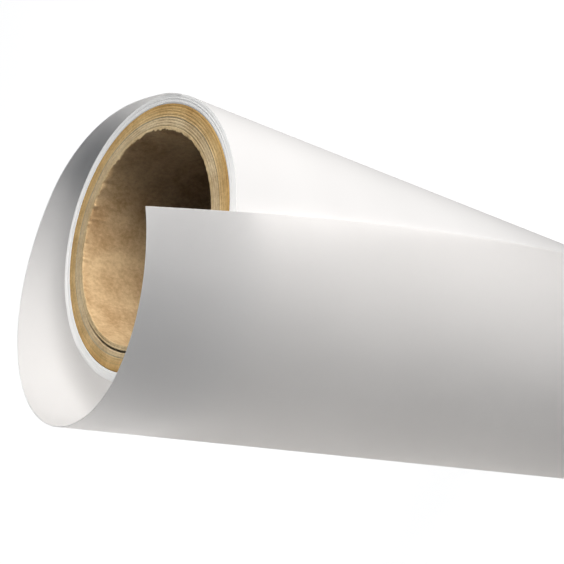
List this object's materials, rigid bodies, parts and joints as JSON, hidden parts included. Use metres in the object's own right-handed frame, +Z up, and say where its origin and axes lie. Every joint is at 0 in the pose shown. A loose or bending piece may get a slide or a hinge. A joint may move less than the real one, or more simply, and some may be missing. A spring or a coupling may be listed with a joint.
{
  "type": "roll of sign vinyl",
  "caption": "Roll of frosted white sign vinyl on a thick paper core, standing on end, with a loose outer lap that overhangs the near end and opens.",
  "frame": {"origin": "on the core's axis, at the end face that the roll stands on", "axes": "+Z up along the core's axis, towards the end where the loose lap overhangs; +X lies 53 degrees clockwise, seen from above, of the line where the lap leaves the roll"},
  "size_m": [0.1176, 0.1294, 0.3422],
  "materials": {
    "core_board": "spiral-wound kraft board, matte",
    "start_tape": "double-sided tape",
    "liner": "coated release paper, satin",
    "film": "frosted translucent film, satin"
  },
  "bodies": {
    "roll": {"core_inner_ply": "core_board", "core_body_ply_2": "core_board", "core_body_ply_3": "core_board", "core_body_ply_4": "core_board", "core_body_ply_5": "core_board", "core_body_ply_6": "core_board", "core_body_ply_7": "core_board", "core_body_ply_8": "core_board", "core_outer_ply": "core_board", "start_tape": "start_tape", "liner_inner_turns": "liner", "film_inner_turns": "film", "liner_outer_turn": "liner", "film_outer_turn": "film"},
    "lap_01": {"liner_lap_01": "liner", "film_lap_01": "film"},
    "lap_02": {"liner_lap_02": "liner", "film_lap_02": "film"},
    "lap_03": {"liner_lap_03": "liner", "film_lap_03": "film"},
    "lap_04": {"liner_lap_04": "liner", "film_lap_04": "film"},
    "lap_05": {"liner_lap_05": "liner", "film_lap_05": "film"},
    "lap_06": {"liner_lap_06": "liner", "film_lap_06": "film"},
    "lap_07": {"liner_lap_07": "liner", "film_lap_07": "film"},
    "lap_08": {"liner_lap_08": "liner", "film_lap_08": "film"},
    "lap_09": {"liner_lap_09": "liner", "film_lap_09": "film"},
    "lap_10": {"liner_lap_10": "liner", "film_lap_10": "film"},
    "lap_11": {"liner_lap_11": "liner", "film_lap_11": "film"},
    "lap_12": {"liner_lap_12": "liner", "film_lap_12": "film"},
    "lap_13": {"liner_lap_13": "liner", "film_lap_13": "film"},
    "lap_14": {"liner_lap_14": "liner", "film_lap_14": "film"},
    "lap_15": {"liner_lap_15": "liner", "film_lap_15": "film"},
    "lap_16": {"liner_lap_16": "liner", "film_lap_16": "film"}
  },
  "joints": [
    {"name": "lap_hinge_01", "type": "hinge", "parent": "roll", "child": "lap_01", "pos_m": [0.03055, 0.04054, 0], "axis": [0, 0, -1], "range_deg": [0, 12], "stiffness_Nm_per_rad": 0.1},
    {"name": "lap_hinge_02", "type": "hinge", "parent": "lap_01", "child": "lap_02", "pos_m": [0.01271, 0.04916, 0], "axis": [-0.0024, -0.0091, -1], "range_deg": [0, 12]},
    {"name": "lap_hinge_03", "type": "hinge", "parent": "lap_02", "child": "lap_03", "pos_m": [-0.00707, 0.0503, 0], "axis": [0.0039, -0.028, -0.9996], "range_deg": [0, 12]},
    {"name": "lap_hinge_04", "type": "hinge", "parent": "lap_03", "child": "lap_04", "pos_m": [-0.02579, 0.04378, 0], "axis": [0.0215, -0.0365, -0.9991], "range_deg": [0, 12]},
    {"name": "lap_hinge_05", "type": "hinge", "parent": "lap_04", "child": "lap_05", "pos_m": [-0.04226, 0.03185, 0], "axis": [0.0294, -0.0221, -0.9993], "range_deg": [0, 12]},
    {"name": "lap_hinge_06", "type": "hinge", "parent": "lap_05", "child": "lap_06", "pos_m": [-0.05687, 0.01471, 0], "axis": [0.0188, -0.0049, -0.9998], "range_deg": [0, 12]},
    {"name": "lap_hinge_07", "type": "hinge", "parent": "lap_06", "child": "lap_07", "pos_m": [-0.06507, -0.00915, 0], "axis": [0, 0, -1], "range_deg": [0, 12]},
    {"name": "lap_hinge_08", "type": "hinge", "parent": "lap_07", "child": "lap_08", "pos_m": [-0.06139, -0.03616, 0], "axis": [-0.0131, -0.0077, -0.9999], "range_deg": [0, 12]},
    {"name": "lap_hinge_09", "type": "hinge", "parent": "lap_08", "child": "lap_09", "pos_m": [-0.04387, -0.05821, 0], "axis": [-0.012, -0.016, -0.9998], "range_deg": [0, 12]},
    {"name": "lap_hinge_10", "type": "hinge", "parent": "lap_09", "child": "lap_10", "pos_m": [-0.01806, -0.06982, 0], "axis": [-0.0044, -0.0169, -0.9998], "range_deg": [0, 12]},
    {"name": "lap_hinge_11", "type": "hinge", "parent": "lap_10", "child": "lap_11", "pos_m": [0.00942, -0.067, 0], "axis": [0.0009, -0.0063, -1], "range_deg": [0, 12]},
    {"name": "lap_hinge_12", "type": "hinge", "parent": "lap_11", "child": "lap_12", "pos_m": [0.03105, -0.05272, 0], "axis": [-0.0023, 0.0039, -1], "range_deg": [0, 12]},
    {"name": "lap_hinge_13", "type": "hinge", "parent": "lap_12", "child": "lap_13", "pos_m": [0.0439, -0.03308, 0], "axis": [-0.0091, 0.0068, -0.9999], "range_deg": [0, 12]},
    {"name": "lap_hinge_14", "type": "hinge", "parent": "lap_13", "child": "lap_14", "pos_m": [0.04808, -0.02038, 0], "axis": [-0.0109, 0.0046, -0.9999], "range_deg": [0, 12]},
    {"name": "lap_hinge_15", "type": "hinge", "parent": "lap_14", "child": "lap_15", "pos_m": [0.05037, -0.00794, 0], "axis": [-0.0083, 0.0013, -1], "range_deg": [0, 12]},
    {"name": "lap_hinge_16", "type": "hinge", "parent": "lap_15", "child": "lap_16", "pos_m": [0.05078, 0.00451, 0], "axis": [-0.0029, -0.0003, -1], "range_deg": [0, 12]}
  ],
  "couplings": [
    {"joint": "lap_hinge_02", "follows": "lap_hinge_01", "ratio": 1},
    {"joint": "lap_hinge_03", "follows": "lap_hinge_01", "ratio": 1},
    {"joint": "lap_hinge_04", "follows": "lap_hinge_01", "ratio": 1},
    {"joint": "lap_hinge_05", "follows": "lap_hinge_01", "ratio": 1},
    {"joint": "lap_hinge_06", "follows": "lap_hinge_01", "ratio": 1},
    {"joint": "lap_hinge_07", "follows": "lap_hinge_01", "ratio": 1},
    {"joint": "lap_hinge_08", "follows": "lap_hinge_01", "ratio": 1},
    {"joint": "lap_hinge_09", "follows": "lap_hinge_01", "ratio": 1},
    {"joint": "lap_hinge_10", "follows": "lap_hinge_01", "ratio": 1},
    {"joint": "lap_hinge_11", "follows": "lap_hinge_01", "ratio": 1},
    {"joint": "lap_hinge_12", "follows": "lap_hinge_01", "ratio": 1},
    {"joint": "lap_hinge_13", "follows": "lap_hinge_01", "ratio": 1},
    {"joint": "lap_hinge_14", "follows": "lap_hinge_01", "ratio": 1},
    {"joint": "lap_hinge_15", "follows": "lap_hinge_01", "ratio": 1},
    {"joint": "lap_hinge_16", "follows": "lap_hinge_01", "ratio": 1}
  ]
}
